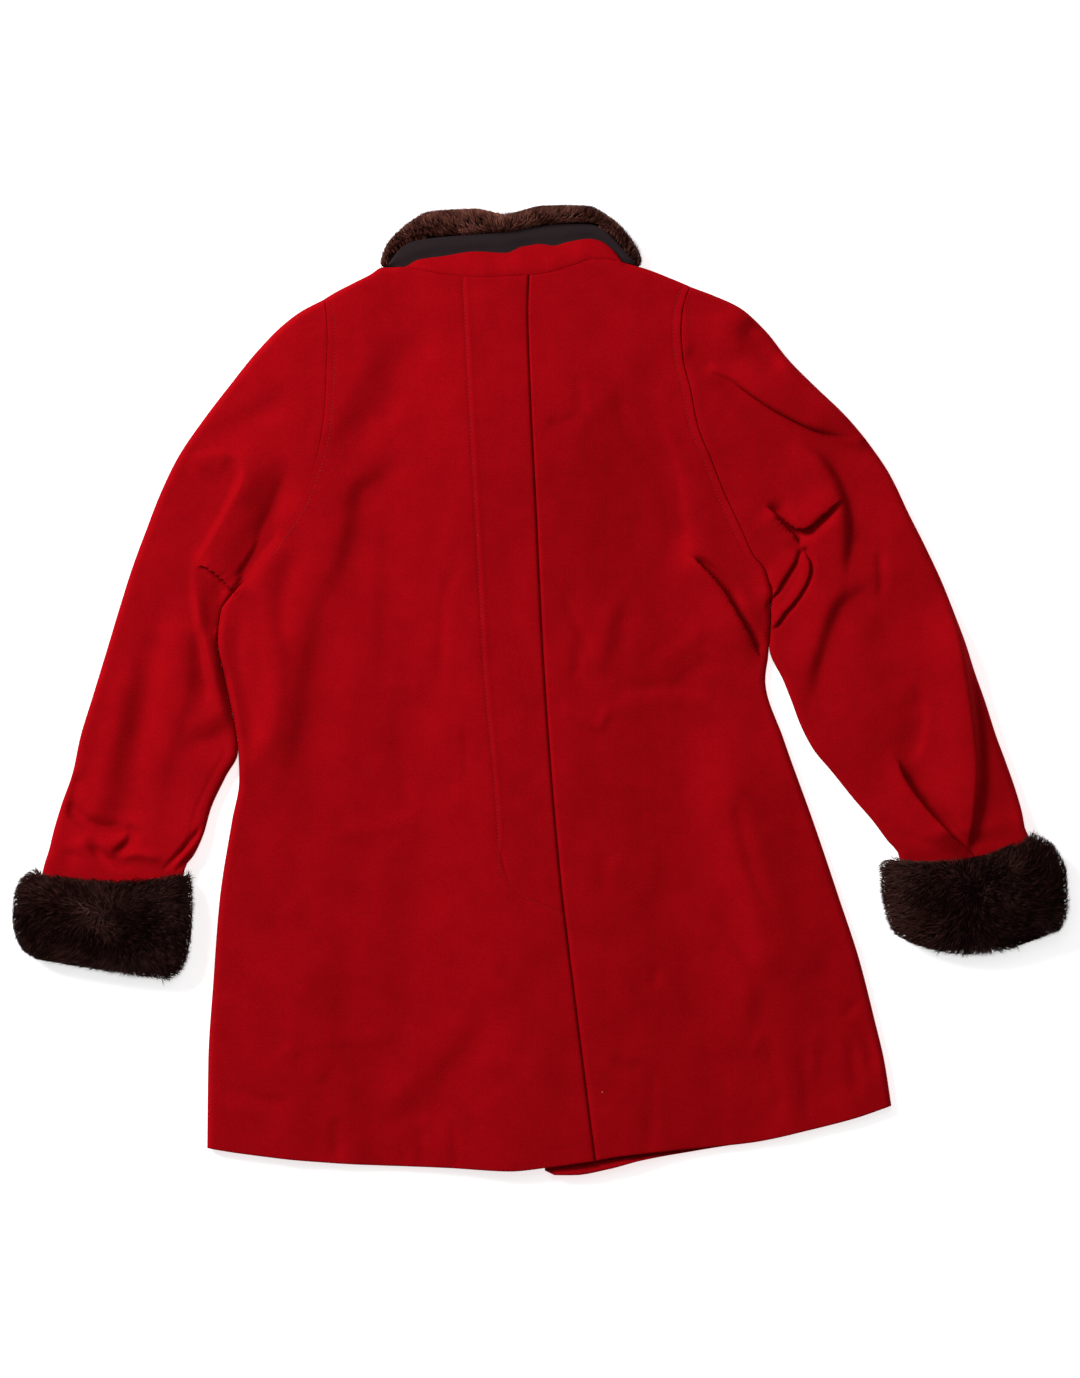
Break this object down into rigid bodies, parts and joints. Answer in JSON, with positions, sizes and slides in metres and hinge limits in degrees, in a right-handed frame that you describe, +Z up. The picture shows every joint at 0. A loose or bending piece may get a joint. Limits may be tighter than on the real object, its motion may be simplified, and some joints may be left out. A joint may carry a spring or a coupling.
{
  "type": "overcoat",
  "caption": "Women's A-line wool overcoat with fur collar and fur cuffs and a knife pleat down the back, laid face down and flat.",
  "frame": {"origin": "on the surface under the coat, at the middle of its length and width", "axes": "+X across the coat towards the wearer's right, as it lies on its fronts; +Y from the hem to the collar; +Z up off the surface, out of the back"},
  "size_m": [1.0198, 0.939, 0.0379],
  "materials": {
    "red_wool": "milled wool, matt, with a short nap",
    "dark_lining": "plain dark satin cloth",
    "brown_fur": "dense dark brown fur",
    "dark_horn": "satin, dark red"
  },
  "bodies": {
    "root": {"back_left": "red_wool", "back_right": "red_wool", "front_left": "red_wool", "front_right": "red_wool", "left_sleeve_back": "red_wool", "left_sleeve_front": "red_wool", "right_sleeve_back": "red_wool", "right_sleeve_front": "red_wool", "under_collar": "red_wool", "collar_lining": "dark_lining", "fur_collar": "brown_fur", "left_cuff": "brown_fur", "right_cuff": "brown_fur", "button_1": "dark_horn", "button_2": "dark_horn", "button_3": "dark_horn", "button_4": "dark_horn"}
  },
  "joints": []
}
